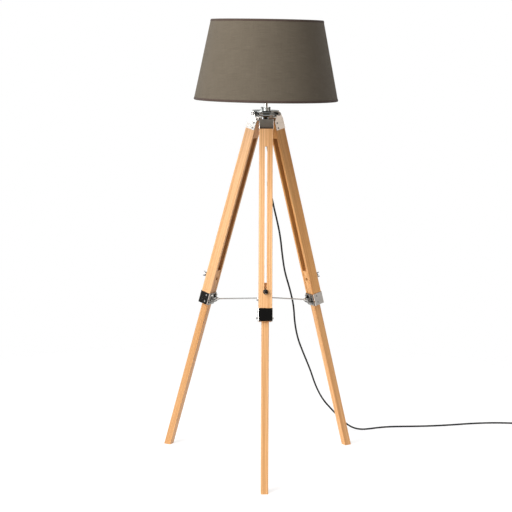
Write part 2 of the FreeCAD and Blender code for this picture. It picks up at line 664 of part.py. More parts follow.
def shade_ring_nuts():
    nuts = []
    grip_circle = RING_NUT_RADIUS + 0.6
    for low in (CARRIER_Z - 1.0 - RING_NUT_HEIGHT, CARRIER_Z + 1.0):
        nut = tube(RING_NUT_RADIUS, SHELL_RADIUS, low, low + RING_NUT_HEIGHT)
        for i in range(GRIPS):
            angle = 2 * math.pi * i / GRIPS
            centre = (grip_circle * math.cos(angle), grip_circle * math.sin(angle))
            nut = nut.cut(tube(1.3, 0, low - 1, low + RING_NUT_HEIGHT + 1, centre))
        nuts.append(nut)
    return group(nuts)


# ---------------------------------------------------------------- cord
def cord_path(points):
    """Straight runs joined by tangent arcs, each as large as its two runs allow."""
    points = [Vector(*p) for p in points]
    edges, radii, start = [], [], points[0]
    for before, corner, after in zip(points, points[1:], points[2:]):
        back, ahead = (before - corner), (after - corner)
        reach = 0.45 * min(back.Length, ahead.Length)
        back.normalize()
        ahead.normalize()
        half_turn = (math.pi - math.acos(back.dot(ahead))) / 2
        radius = reach / math.tan(half_turn)
        first, last = corner + back * reach, corner + ahead * reach
        centre = corner + (back + ahead).normalize() * (radius / math.cos(half_turn))
        middle = centre + (corner - centre).normalize() * radius
        edges.append(Part.LineSegment(start, first).toShape())
        edges.append(Part.Arc(first, middle, last).toShape())
        radii.append(round(radius))
        start = last
    edges.append(Part.LineSegment(start, points[-1]).toShape())
    print("cord radii", radii, "smallest", min(radii))
    return Part.Wire(edges)


def power_cord():
    path = cord_path(CORD_ROUTE)
    cord = sweep(path, CORD_RADIUS)
    ideal = math.pi * CORD_RADIUS ** 2 * path.Length
    print("cord length", round(path.Length), "volume against section x length", round(cord.Volume / ideal, 4))
    return cord


def lay_plug(shape):
    """Turn a plug drawn along +X from its neck to where the cord ends."""
    end, before = Vector(*CORD_ROUTE[-1]), Vector(*CORD_ROUTE[-2])
    heading = end - before
    shape = shape.copy()
    shape.rotate(Vector(0, 0, 0), Vector(0, 0, 1), math.degrees(math.atan2(heading.y, heading.x)))
    shape.translate(end)
    return shape


def plug_section(x, half_width, half_height, lift):
    corners = [Vector(x, -half_width, lift - half_height), Vector(x, half_width, lift - half_height),
               Vector(x, half_width, lift + half_height), Vector(x, -half_width, lift + half_height)]
    return Part.makePolygon(corners + corners[:1])


def plug_body():
    """Flat two-pin plug: a tapered neck and a waisted grip, lying on the floor."""
    front = PLUG_NECK + PLUG_LENGTH
    neck = Part.makeLoft([plug_section(0, 3.6, 2.9, 0),
                          plug_section(PLUG_NECK, 5.5, 4.6, PLUG_LIFT * 0.55)], True, True)
    grip = Part.makeLoft([plug_section(PLUG_NECK, 8.0, 5.4, PLUG_LIFT * 0.75),
                          plug_section(PLUG_NECK + 10, 12.5, PLUG_HALF_HEIGHT, PLUG_LIFT),
                          plug_section(front, 13.5, PLUG_HALF_HEIGHT, PLUG_LIFT)], True, True)
    body = neck.fuse(grip).removeSplitter()
    for y in (-PRONG_Y, PRONG_Y):
        body = body.cut(pin_x(PRONG_RADIUS, front - PRONG_ROOT, front + 1, y, PLUG_LIFT))
    return lay_plug(body)


def plug_pins():
    start = PLUG_NECK + PLUG_LENGTH - PRONG_ROOT
    prongs = []
    for y in (-PRONG_Y, PRONG_Y):
        prong = pin_x(PRONG_RADIUS, start, start + PRONG_LENGTH, y, PLUG_LIFT)
        tip = [e for e in prong.Edges if abs(e.CenterOfMass.x - start - PRONG_LENGTH) < 0.01]
        prongs.append(lay_plug(prong.makeFillet(1.2, tip)))
    return group(prongs)


# ---------------------------------------------------------------- write every node
def write_legs():
    plate_holes = screw_holes(TOP_SCREWS + COLLAR_SCREWS)
    bracket = top_bracket().cut(screw_holes(TOP_SCREWS))
    collar = foot_collar().cut(screw_holes(COLLAR_SCREWS))
    shapes = {"upper_leg": upper_leg(), "top_bracket": bracket, "foot_collar": collar,
              "rod_bracket": rod_bracket(), "leg_fixings": fixings(), "lower_leg": lower_leg(),
              "clamp_bolt": clamp_bolt(), "clamp_washer": clamp_washer(), "wing_nut": wing_nut()}
    rod = spreader_rod()
    for side, angle in LEG_ANGLES.items():
        for name, shape in shapes.items():
            placed = spread(shape, angle)
            if name == "lower_leg":
                placed = cut_to_floor(placed)
            save(name + "_" + side, placed)
        save("spreader_rod_" + side, around(rod, angle))


def write_head():
    for maker in (head_plate, hinge_bolts, hinge_nuts, hinge_spacers, head_collar, head_screws, stem_tube,
                  cable_gland, lampholder_cap, switch_bar, lampholder_shell, lampholder_core,
                  lampholder_contacts, bulb_cap, bulb_glass, shade_carrier, shade_ring_nuts, power_cord,
                  plug_body, plug_pins):
        save(maker.__name__, maker())


def write_shade():
    inner = -CLOTH - LINING
    save("shade_cover", cone_skin(0, -CLOTH, SHADE_BOTTOM_Z, TOTAL_HEIGHT))
    save("shade_lining", cone_skin(-CLOTH, inner, SHADE_BOTTOM_Z, TOTAL_HEIGHT))
    save("shade_bottom_trim", cone_skin(TRIM, 0, SHADE_BOTTOM_Z, SHADE_BOTTOM_Z + TRIM_HEIGHT))
    save("shade_top_trim", cone_skin(TRIM, 0, TOTAL_HEIGHT - TRIM_HEIGHT, TOTAL_HEIGHT))
    for name, z in (("shade_bottom_ring", SHADE_BOTTOM_Z + RIM_WIRE),
                    ("shade_top_ring", TOTAL_HEIGHT - RIM_WIRE)):
        save(name, ring(shade_radius(z) + inner - RIM_WIRE - 0.6, RIM_WIRE, z))


write_legs()
write_head()
write_shade()
save("spreader_ring", ring(RING_RADIUS, RING_WIRE, ring_height()))
print("axis at Y", round(AXIS_Y, 2), "foot reach", round(foot_reach(), 2),
      "ring height", round(ring_height(), 2),
      "fork pin", [round(v, 2) for v in pin_point()])
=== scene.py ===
"""Looks of the wooden tripod floor lamp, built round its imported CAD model.

Metres, +Z up, floor at Z = 0, in the frame of the CAD model. The lamp's own axis is vertical and
passes through (0, AXIS_Y). Leg coordinates have their origin on a leg's hinge, X along the hinge,
Y towards the lamp's axis and Z up the leg.
"""

import math

import bmesh
import bpy
from mathutils import Matrix, Vector, noise


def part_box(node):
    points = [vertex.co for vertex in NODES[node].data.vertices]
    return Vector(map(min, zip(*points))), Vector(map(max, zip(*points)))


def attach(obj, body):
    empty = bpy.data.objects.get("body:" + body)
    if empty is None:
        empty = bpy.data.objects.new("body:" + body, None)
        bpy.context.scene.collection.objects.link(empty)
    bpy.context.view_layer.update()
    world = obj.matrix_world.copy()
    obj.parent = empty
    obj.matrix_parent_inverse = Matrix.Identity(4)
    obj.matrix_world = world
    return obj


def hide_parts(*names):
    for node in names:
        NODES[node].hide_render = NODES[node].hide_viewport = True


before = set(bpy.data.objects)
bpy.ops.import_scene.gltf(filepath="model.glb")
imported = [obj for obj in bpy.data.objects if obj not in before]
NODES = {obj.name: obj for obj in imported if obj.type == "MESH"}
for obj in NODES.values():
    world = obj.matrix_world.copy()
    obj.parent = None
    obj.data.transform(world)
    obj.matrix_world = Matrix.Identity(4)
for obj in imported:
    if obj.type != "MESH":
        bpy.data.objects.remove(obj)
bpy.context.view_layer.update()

shade_low, shade_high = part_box("shade_cover")
AXIS_Y = (shade_low.y + shade_high.y) / 2
AXIS = Vector((0.0, AXIS_Y, 0.0))

# ---------------------------------------------------------------- dimensions shared with the CAD model
SPLAY = math.radians(16.0)
HINGE_RADIUS = 0.036
HINGE_Z = 1.152
LEG_ANGLES = {"front": 0.0, "right": 120.0, "left": -120.0}
LEG_HALF_WIDTH = 0.02125
LEG_OUTER_Y = -0.0117
LEG_INNER_Y = 0.0217
GROOVE_HALF_WIDTH = 0.01215
GROOVE_FLOOR_Y = -0.0032
GROOVE_TOP = -0.0779

SHADE_BOTTOM_Z = shade_low.z
SHADE_TOP_Z = shade_high.z
SHADE_BOTTOM_RADIUS = (shade_high.x - shade_low.x) / 2
SHADE_TOP_RADIUS = 0.180
RIM_WIRE = 0.0018
CLOTH = 0.0008
LINING = 0.0005
SEAM = 0.012                    # overlap of the cloth's glued seam
SHADE_MEAN_RADIUS = 0.206
SEAM_ANGLE = SEAM / SHADE_MEAN_RADIUS
TRIM_HEIGHT = 0.0068
TRIM = 0.0005                   # thickness of the tape folded over the rims
SHADE_STEPS = 300               # segments round the shade

# the shade's cone: length of its side, and the sine and cosine of the side's slope from upright
CONE_SLANT = math.hypot(SHADE_TOP_Z - SHADE_BOTTOM_Z, SHADE_BOTTOM_RADIUS - SHADE_TOP_RADIUS)
CONE_SINE = (SHADE_BOTTOM_RADIUS - SHADE_TOP_RADIUS) / CONE_SLANT
CONE_COSINE = (SHADE_TOP_Z - SHADE_BOTTOM_Z) / CONE_SLANT

CORD_RADIUS = 0.003
CORD_ROUTE = [(0, 0, 1.108), (0, 0, 1.082), (0.007, 0.006, 1.052), (0.0125, 0.013, 1.016),
              (0.0146, 0.0195, 0.968), (0.0129, 0.024, 0.944), (0.012, 0.0344, 0.914),
              (0.0194, 0.043, 0.892), (0.0286, 0.0515, 0.87), (0.037, 0.065, 0.834), (0.047, 0.08, 0.797),
              (0.0607, 0.103, 0.739), (0.069, 0.121, 0.676), (0.079, 0.132, 0.615), (0.098, 0.144, 0.556),
              (0.114, 0.159, 0.494), (0.119, 0.173, 0.434), (0.132, 0.193, 0.372), (0.156, 0.218, 0.312),
              (0.183, 0.246, 0.248), (0.204, 0.274, 0.186), (0.233, 0.3, 0.128), (0.272, 0.322, 0.082),
              (0.31, 0.341, 0.04), (0.344, 0.353, 0.011), (0.378, 0.353, 0.003), (0.411, 0.362, 0.003),
              (0.443, 0.378, 0.003), (0.481, 0.39, 0.003), (0.524, 0.395, 0.003), (0.586, 0.398, 0.003),
              (0.653, 0.406, 0.003), (0.721, 0.42, 0.003), (0.787, 0.438, 0.003), (0.85, 0.449, 0.003),
              (0.91, 0.452, 0.003), (0.966, 0.447, 0.003)]

PLUG_NECK = 0.022
PLUG_END = 0.060
PLUG_HALF_HEIGHT = 0.0069
PLUG_STEP = 0.0005              # between the cross-sections of the moulding
RIB_PITCH = 0.0042              # of the neck's ribs
RIDGES = (0.036, 0.054)         # where the finger ridges are, along the plug
RIDGE_PITCH = 0.003
FRONT_EDGE = 0.0012             # radius of the plug's front edge
PRONG_Y = 0.0095

GLAND_FLANGE_Z = 1.140
SLEEVE_LENGTH = 0.024           # grooved part of the strain relief
SLEEVE_GROOVES = 6


# ---------------------------------------------------------------- camera
def make_camera():
    """Camera in front of the lamp at shade height, looking slightly down and slightly rolled."""
    pitch, roll, yaw = (math.radians(angle) for angle in (8.727, 0.929, -2.24))
    forward = Vector((0, math.cos(pitch), -math.sin(pitch)))
    level, upright = Vector((1, 0, 0)), Vector((0, math.sin(pitch), math.cos(pitch)))
    right = math.cos(roll) * level + math.sin(roll) * upright
    up = math.cos(roll) * upright - math.sin(roll) * level
    turn = Matrix.Rotation(yaw, 4, "Z")
    basis = Matrix((right, up, -forward)).transposed().to_4x4()
    data = bpy.data.cameras.new("camera")
    data.lens, data.sensor_width = 96.52, 36.0
    data.clip_start, data.clip_end = 0.1, 100.0
    camera = bpy.data.objects.new("camera", data)
    bpy.context.scene.collection.objects.link(camera)
    place = Matrix.Translation(AXIS) @ turn @ Matrix.Translation((-0.02375, -4.44359, 1.36944))
    camera.matrix_world = place @ basis
    bpy.context.scene.camera = camera


# ---------------------------------------------------------------- mesh helpers
def mesh_object(name, bm, sharp=40.0):
    """Object from a bmesh, smooth apart from edges sharper than an angle in degrees."""
    bmesh.ops.remove_doubles(bm, verts=bm.verts, dist=1e-7)
    bmesh.ops.recalc_face_normals(bm, faces=bm.faces)
    mesh = bpy.data.meshes.new(name)
    limit = math.radians(sharp)
    for face in bm.faces:
        face.smooth = True
    for edge in bm.edges:
        if len(edge.link_faces) == 2:
            edge.smooth = edge.calc_face_angle(0.0) < limit
    bm.to_mesh(mesh)
    bm.free()
    made = bpy.data.objects.new(name, mesh)
    bpy.context.scene.collection.objects.link(made)
    return made


def skin(bm, loops, closed_loops=True):
    """Quads between loops of points that have the same number of points."""
    rows = [[bm.verts.new(point) for point in loop] for loop in loops]
    count = len(rows[0])
    for near, far in zip(rows, rows[1:]):
        for i in range(count if closed_loops else count - 1):
            j = (i + 1) % count
            bm.faces.new((near[i], near[j], far[j], far[i]))
    return rows


def capped(bm, loops):
    """Closed tube through loops of points."""
    rows = skin(bm, loops)
    bm.faces.new(rows[0])
    bm.faces.new(rows[-1])


def lathe(bm, outline, place, around):
    """Surface of revolution about the local Z axis from (radius, z) points, with its ends closed."""
    loops = []
    for radius, z in outline:
        turns = [math.tau * i / around for i in range(around)]
        loops.append([place @ Vector((radius * math.cos(t), radius * math.sin(t), z)) for t in turns])
    capped(bm, loops)


def eased(value):
    """Smooth step from 0 to 1."""
    value = min(1.0, max(0.0, value))
    return value * value * (3 - 2 * value)


def dress(piece, material, body, slot, *nodes):
    """Give a new piece its material and body, and hide the CAD nodes that it stands for; slot is not used.
    """
    piece.data.materials.clear()
    piece.data.materials.append(material)
    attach(piece, body)
    if nodes:
        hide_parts(*nodes)
    return piece


# ---------------------------------------------------------------- node trees
class Graph:
    """Node tree, with short calls for the nodes that repeat."""

    def __init__(self, tree):
        self.tree = tree
        tree.nodes.clear()

    def feed(self, socket, value):
        if isinstance(value, bpy.types.NodeSocket):
            self.tree.links.new(value, socket)
        elif value is not None:
            socket.default_value = (*value, 1.0) if socket.type == "RGBA" and len(value) == 3 else value

    def add(self, kind, inputs=None, **settings):
        made = self.tree.nodes.new(kind)
        for name, value in settings.items():
            setattr(made, name, value)
        for name, value in (inputs or {}).items():
            self.feed(made.inputs[name], value)
        return made

    def math(self, operation, *values):
        return self.add("ShaderNodeMath", dict(enumerate(values)), operation=operation).outputs[0]

    def times(self, a, b):
        return self.math("MULTIPLY", a, b)

    def hypotenuse(self, a, b):
        return self.math("SQRT", self.math("ADD", self.math("POWER", a, 2.0), self.math("POWER", b, 2.0)))

    def span(self, value, low, high, to_low=0.0, to_high=1.0, smooth=False):
        inputs = {0: value, 1: low, 2: high, 3: to_low, 4: to_high}
        kind = "SMOOTHSTEP" if smooth else "LINEAR"
        return self.add("ShaderNodeMapRange", inputs, interpolation_type=kind).outputs[0]

    def mix(self, factor, a, b, blend="MIX"):
        inputs = {0: factor, 6: a, 7: b}
        return self.add("ShaderNodeMix", inputs, data_type="RGBA", blend_type=blend).outputs[2]

    def coordinates(self, offset, turn=(0, 0, 0)):
        """Object coordinates, turned and then moved."""
        return self.mapped(self.add("ShaderNodeTexCoord").outputs["Object"], offset, turn)

    def mapped(self, vector, offset=(0, 0, 0), turn=(0, 0, 0), scale=(1, 1, 1)):
        """A vector, scaled, turned and then moved."""
        inputs = {"Vector": vector, "Location": offset, "Rotation": turn, "Scale": scale}
        return self.add("ShaderNodeMapping", inputs).outputs[0]

    def split(self, vector):
        return self.add("ShaderNodeSeparateXYZ", {0: vector}).outputs

    def join(self, x, y, z=0.0):
        return self.add("ShaderNodeCombineXYZ", {0: x, 1: y, 2: z}).outputs[0]

    def noise(self, vector, scale, detail, rough=0.5):
        """Noise from 0 to 1; on coordinates in metres, the scale is in grains per metre."""
        inputs = {"Vector": vector, "Scale": scale, "Detail": detail, "Roughness": rough}
        return self.add("ShaderNodeTexNoise", inputs).outputs[0]

    def bump(self, height, distance, strength, normal=None):
        inputs = {"Strength": strength, "Distance": distance, "Height": height, "Normal": normal}
        return self.add("ShaderNodeBump", inputs).outputs[0]

    def total(self, *values):
        result = values[0]
        for value in values[1:]:
            result = self.math("ADD", result, value)
        return result


class Surface(Graph):
    """Node tree of one material, round one principled shader."""

    def __init__(self, name, **sockets):
        self.material = bpy.data.materials.new(name)
        self.material.use_nodes = True
        super().__init__(self.material.node_tree)
        self.shader = self.add("ShaderNodeBsdfPrincipled")
        self.out = self.add("ShaderNodeOutputMaterial")
        self.feed(self.out.inputs["Surface"], self.shader.outputs["BSDF"])
        self.set(**sockets)

    def set(self, **sockets):
        for name, value in sockets.items():
            self.feed(self.shader.inputs[name.replace("_", " ")], value)


def leg_coordinates(graph, angle):
    """A leg's own coordinates, from object coordinates."""
    turn = Matrix.Rotation(SPLAY, 3, "X") @ Matrix.Rotation(math.radians(-angle), 3, "Z")
    hinge = AXIS + Matrix.Rotation(math.radians(angle), 3, "Z") @ Vector((0, -HINGE_RADIUS, 0))
    hinge.z = HINGE_Z
    return graph.coordinates(offset=-(turn @ hinge), turn=turn.to_euler("XYZ"))


def leg_direction(angle):
    """Unit vector up a spread leg."""
    return Matrix.Rotation(math.radians(angle), 3, "Z") @ Vector((0, math.sin(SPLAY), math.cos(SPLAY)))


# ---------------------------------------------------------------- wood
RINGS_PER_METRE = 290.0
WOOD_LIGHT = (0.88, 0.50, 0.215)
WOOD_MID = (0.78, 0.405, 0.145)
WOOD_DARK = (0.52, 0.23, 0.065)
WOOD_CLOUD = (0.80, 0.43, 0.16)
WOOD_PORE = (0.34, 0.16, 0.055)
WOOD_RAY = (0.64, 0.34, 0.13)
WOOD_WORN = (0.90, 0.60, 0.33)
# painted shade for the inside of the upper legs' groove
WOOD_GROOVE_SHADE = (0.36, 0.155, 0.035)
WOOD_END = (0.42, 0.20, 0.075)


def wood(name, angle, pith, drift, tone, seed, groove=False):
    """Pale varnished hardwood with growth rings round a pith beside the leg.

    pith is the pith's X and Y in leg coordinates, drift how far it moves per metre of leg, tone
    the lightness of the piece as a factor for each colour channel, which carries painted light:
    a piece made paler or darker as if lit or shaded.
    """
    g = Surface(name, Coat_Weight=0.18, Coat_Roughness=0.22, IOR=1.5)
    leg = leg_coordinates(g, angle)
    shifted = g.mapped(leg, offset=(seed * 1.37, seed * 0.61, seed * 2.11))
    x, y, z = g.split(leg)
    # growth rings: distance from a pith that wanders along the leg, in years of uneven width
    wander = g.noise(g.mapped(shifted, scale=(9.0, 9.0, 1.3)), 1.0, 2.0)
    wander = g.times(g.math("SUBTRACT", wander, 0.5), 0.016)
    across = g.total(x, -pith[0], g.times(z, drift[0]), wander)
    deep = g.total(y, -pith[1], g.times(z, drift[1]))
    distance = g.hypotenuse(across, deep)
    uneven = g.noise(g.join(g.times(distance, 90.0), seed), 1.0, 1.0)
    year = g.math("ADD", g.times(distance, RINGS_PER_METRE), g.times(uneven, 2.2))
    phase = g.math("FRACT", year)
    late = g.times(g.math("POWER", phase, 3.0), g.span(phase, 1.0, 0.90))
    late = g.times(late, 1.7)

    # stretched along the leg: fibres, streaks, soft clouds, pores, and rays on the side
    fibre = g.noise(g.mapped(shifted, scale=(900.0, 900.0, 11.0)), 1.0, 3.0, 0.6)
    streak = g.noise(g.mapped(shifted, scale=(120.0, 120.0, 1.6)), 1.0, 3.0, 0.6)
    cloud = g.noise(g.mapped(shifted, scale=(14.0, 14.0, 3.0)), 1.0, 2.0)
    pore = g.noise(g.mapped(shifted, scale=(1500.0, 1500.0, 95.0)), 1.0, 1.0)
    pore = g.span(pore, 0.66, 0.74)
    ray = g.noise(g.mapped(shifted, scale=(700.0, 160.0, 160.0)), 1.0, 1.0)
    ray = g.span(ray, 0.67, 0.75)

    def tinted(colour):
        return tuple(min(0.95, channel * level) for channel, level in zip(colour, tone))

    light, mid, dark = tinted(WOOD_LIGHT), tinted(WOOD_MID), tinted(WOOD_DARK)
    colour = g.mix(g.span(streak, 0.34, 0.66), light, mid)
    colour = g.mix(g.times(late, 0.70), colour, dark)
    colour = g.mix(g.span(streak, 0.54, 0.68, 0.0, 0.55), colour, dark)
    band = g.noise(g.mapped(shifted, scale=(230.0, 230.0, 2.4)), 1.0, 2.0)
    colour = g.mix(g.span(band, 0.55, 0.68, 0.0, 0.45), colour, dark)
    colour = g.mix(g.span(fibre, 0.35, 0.75, 0.0, 0.34), colour, dark)
    colour = g.mix(g.span(cloud, 0.42, 0.75, 0.0, 0.30), colour, tinted(WOOD_CLOUD))
    colour = g.mix(g.times(pore, 0.45), colour, WOOD_PORE)
    colour = g.mix(g.times(ray, 0.20), colour, WOOD_RAY)

    # eased edges are handled and rubbed: lighter, and a little duller
    worn_from, worn_to = 0.0022, 0.0004
    edge_x = g.span(g.math("ABSOLUTE", x), LEG_HALF_WIDTH - worn_from, LEG_HALF_WIDTH - worn_to)
    middle_y = (LEG_OUTER_Y + LEG_INNER_Y) / 2
    off_y = g.math("ABSOLUTE", g.math("SUBTRACT", y, middle_y))
    half_depth = (LEG_INNER_Y - LEG_OUTER_Y) / 2
    edge_y = g.span(off_y, half_depth - worn_from, half_depth - worn_to)
    patchy = g.span(g.noise(g.mapped(shifted, scale=(60.0, 60.0, 14.0)), 1.0, 3.0), 0.4, 0.7)
    worn = g.times(g.times(edge_x, edge_y), g.times(patchy, 0.6))
    colour = g.mix(worn, colour, WOOD_WORN)

    if groove:                  # painted shade: the inside of the groove is darkened as if in shadow
        inside = g.times(g.math("LESS_THAN", g.math("ABSOLUTE", x), GROOVE_HALF_WIDTH),
                         g.math("GREATER_THAN", y, GROOVE_FLOOR_Y))
        inside = g.times(inside, g.math("LESS_THAN", z, GROOVE_TOP))
        colour = g.mix(g.times(inside, 0.62), colour, WOOD_GROOVE_SHADE)

    # end grain soaks up varnish and darkens
    normal = g.add("ShaderNodeTexCoord").outputs["Normal"]
    facing = g.add("ShaderNodeVectorMath", {0: normal, 1: leg_direction(angle)}, operation="DOT_PRODUCT")
    end = g.span(g.math("ABSOLUTE", facing.outputs["Value"]), 0.75, 0.95, 0.0, 0.45)
    colour = g.mix(end, colour, WOOD_END)

    rough = g.total(g.span(streak, 0.2, 0.8, 0.36, 0.47), g.times(pore, 0.18), g.times(worn, 0.10))
    relief = g.total(g.times(fibre, 0.5), g.times(pore, -1.0), g.times(late, 0.35))
    g.set(Base_Color=colour, Roughness=rough, Normal=g.bump(relief, 0.00016, 0.7))
    return g.material


# ---------------------------------------------------------------- metals
def scratches(g, place, turn, scale, low, high):
    """Mask of fine scratches that all run one way."""
    return g.span(g.noise(g.mapped(place, turn=turn, scale=scale), 1.0, 2.0), low, high)


def metal(name, colour, rough, smudge, brushed=0.0, cast=0.0, grain=(1, 1, 1)):
    """Metal with smudges and fine scratches; cast adds the grain of a sand or die casting."""
    g = Surface(name, Metallic=1.0)
    place = g.coordinates(offset=-AXIS)
    blotch = g.noise(place, 55.0, 4.0, 0.6)
    fine = g.noise(g.mapped(place, scale=grain), 1400.0, 2.0)
    scratch = scratches(g, place, (0.4, 0.9, 0.3), (2600.0, 60.0, 60.0), 0.66, 0.72)
    tone = tuple(channel * 0.86 for channel in colour)
    base = g.mix(g.span(blotch, 0.35, 0.75), colour, tone)
    roughness = g.total(g.span(blotch, 0.35, 0.75, rough, rough + smudge), g.times(scratch, 0.10),
                        g.times(fine, 0.05 + brushed * 0.1))
    relief = g.total(g.times(fine, 0.2 + brushed), g.times(scratch, -0.3))
    normal = g.bump(relief, 0.00002 + 0.00004 * brushed, 0.6)
    if cast:
        pits = g.noise(place, 620.0, 3.0, 0.65)
        normal = g.bump(pits, 0.0003 * cast, 0.8, normal)
        base = g.mix(g.span(pits, 0.30, 0.50, 0.55, 0.0), base, tuple(channel * 0.35 for channel in colour))
    g.set(Base_Color=base, Roughness=roughness, Normal=normal)
    return g.material


# ---------------------------------------------------------------- plastics, glass and paint
def moulded(name, colour, rough, texture=0.0002, scale=900.0, dust=0.25, **sockets):
    """Moulded plastic, rubber or glaze with a fine texture, scuffs and a trace of dust."""
    g = Surface(name, **sockets)
    place = g.coordinates(offset=-AXIS)
    fine = g.noise(place, scale, 3.0, 0.6)
    blotch = g.noise(place, 38.0, 4.0, 0.6)
    scuff = scratches(g, place, (0.7, 0.2, 0.5), (1800.0, 70.0, 110.0), 0.66, 0.74)
    lighter = tuple(min(1.0, channel * 1.6 + 0.012) for channel in colour)
    base = g.mix(g.span(blotch, 0.40, 0.80, 0.0, dust), colour, lighter)
    base = g.mix(g.times(scuff, dust), base, lighter)
    roughness = g.total(g.span(blotch, 0.35, 0.75, rough, rough + 0.12), g.times(fine, 0.08),
                        g.times(scuff, 0.10))
    g.set(Base_Color=base, Roughness=roughness, Normal=g.bump(fine, texture, 0.5))
    return g.material


# ---------------------------------------------------------------- cloth
def thread_height(g, along, across, pitch):
    """Height of a plain weave, and whether the thread on top runs along or across."""
    a = g.times(along, math.pi / pitch)
    b = g.times(across, math.pi / pitch)
    sin_a, sin_b = g.math("SINE", a), g.math("SINE", b)
    over = g.math("GREATER_THAN", g.times(sin_a, sin_b), 0.0)
    round_a, round_b = g.math("ABSOLUTE", sin_a), g.math("ABSOLUTE", sin_b)
    crown_a, crown_b = (g.times(g.math("POWER", one, 0.5), g.math("ADD", 0.5, g.times(other, 0.5)))
                        for one, other in ((round_a, round_b), (round_b, round_a)))
    low = g.times(g.math("SUBTRACT", 1.0, over), crown_b)
    return g.math("ADD", g.times(over, crown_a), low), over


def cloth(name, colour, pitch=0.00062, flat=True):
    """Plain woven cotton with slubs.

    pitch is the distance between threads. A flat cut has its threads straight before it is wrapped
    round the cone; otherwise they follow the rim.
    """
    g = Surface(name, Sheen_Weight=0.10, Sheen_Roughness=0.45, Specular_IOR_Level=0.15)
    x, y, z = g.split(g.coordinates(offset=-AXIS))
    radius = g.hypotenuse(x, y)
    angle = g.math("ARCTAN2", x, g.times(y, -1.0))
    if flat:
        slant = g.math("DIVIDE", radius, CONE_SINE)
        turned = g.times(angle, CONE_SINE)
        weft = g.times(slant, g.math("SINE", turned))
        warp = g.times(slant, g.math("COSINE", turned))
    else:
        weft, warp = g.times(angle, 0.2), g.math("ADD", z, radius)
    height, over = thread_height(g, weft, warp, pitch)
    slub_weft = g.noise(g.join(g.times(weft, 22.0), g.times(warp, 900.0)), 1.0, 3.0, 0.6)
    slub_warp = g.noise(g.join(g.times(weft, 900.0), g.times(warp, 22.0), 3.7), 1.0, 3.0, 0.6)
    cloud = g.noise(g.join(weft, warp), 16.0, 3.0, 0.55)
    fuzz = g.noise(g.join(weft, warp), 2600.0, 2.0, 0.7)
    dark = tuple(channel * 0.62 for channel in colour)
    pale = tuple(min(1.0, channel * 1.32 + 0.01) for channel in colour)
    tint = g.mix(g.span(slub_weft, 0.56, 0.34, 0.0, 0.45), colour, dark)
    tint = g.mix(g.span(slub_weft, 0.56, 0.74, 0.0, 0.35), tint, pale)
    tint = g.mix(g.span(slub_warp, 0.56, 0.74, 0.0, 0.35), tint, pale)
    tint = g.mix(g.span(slub_warp, 0.44, 0.26, 0.0, 0.40), tint, dark)
    tint = g.mix(g.span(cloud, 0.35, 0.70, 0.0, 0.14), tint, dark)
    # painted shade: the low places between the threads are darkened
    tint = g.mix(g.span(height, 0.55, 0.10, 0.0, 0.60), tint, tuple(channel * 0.35 for channel in colour))
    tint = g.mix(g.times(over, 0.10), tint, pale)
    relief = g.total(height, g.times(slub_weft, 0.9), g.times(slub_warp, 0.6), g.times(fuzz, 0.25))
    rough = g.span(cloud, 0.2, 0.8, 0.84, 0.95)
    g.set(Base_Color=tint, Roughness=rough, Normal=g.bump(relief, 0.00022, 0.9))
    return g.material


def cone_point(angle, up, out):
    """Point of the shade from its angle round from the front, distance up the slant and outward offset."""
    radius = SHADE_BOTTOM_RADIUS - up * CONE_SINE + out * CONE_COSINE
    height = SHADE_BOTTOM_Z + up * CONE_COSINE + out * CONE_SINE
    return Vector((radius * math.sin(angle), AXIS_Y - radius * math.cos(angle), height))


def cloth_cone(name, outer, thickness, lap, wave):
    """Strip wrapped round the cone, whose end rises by lap and lies on its start at the back.

    wave is how far the strip dips inward in slow bulges, and a quarter as far in short ripples.
    """
    rows = 36
    start, end = -math.pi - SEAM_ANGLE, math.pi
    outside, inside = [], []
    for j in range(rows + 1):
        up = CONE_SLANT * j / rows
        outer_row, inner_row = [], []
        for i in range(SHADE_STEPS + 1):
            angle = start + (end - start) * i / SHADE_STEPS
            rise = lap * eased((angle - (end - 1.8 * SEAM_ANGLE)) / (0.5 * SEAM_ANGLE))
            spot = Vector((math.sin(angle), math.cos(angle), up * 6.0))
            belly = wave * noise.noise(spot * 1.7 + Vector((3.1, 0.4, 5.2))) * math.sin(math.pi * j / rows)
            ripple = 0.25 * wave * noise.noise(spot * 9.0)
            out = outer + rise + min(belly, 0.0) + min(ripple, 0.0)
            outer_row.append(cone_point(angle, up, out))
            inner_row.append(cone_point(angle, up, out - thickness))
        outside.append(outer_row)
        inside.append(inner_row)
    bm = bmesh.new()
    loops = [outer_row + inner_row[::-1] for outer_row, inner_row in zip(outside, inside)]
    rows_made = skin(bm, loops)
    for row in (rows_made[0], rows_made[-1]):
        for i in range(SHADE_STEPS):
            bm.faces.new((row[i], row[i + 1], row[-2 - i], row[-1 - i]))
    return mesh_object(name, bm, 50.0)


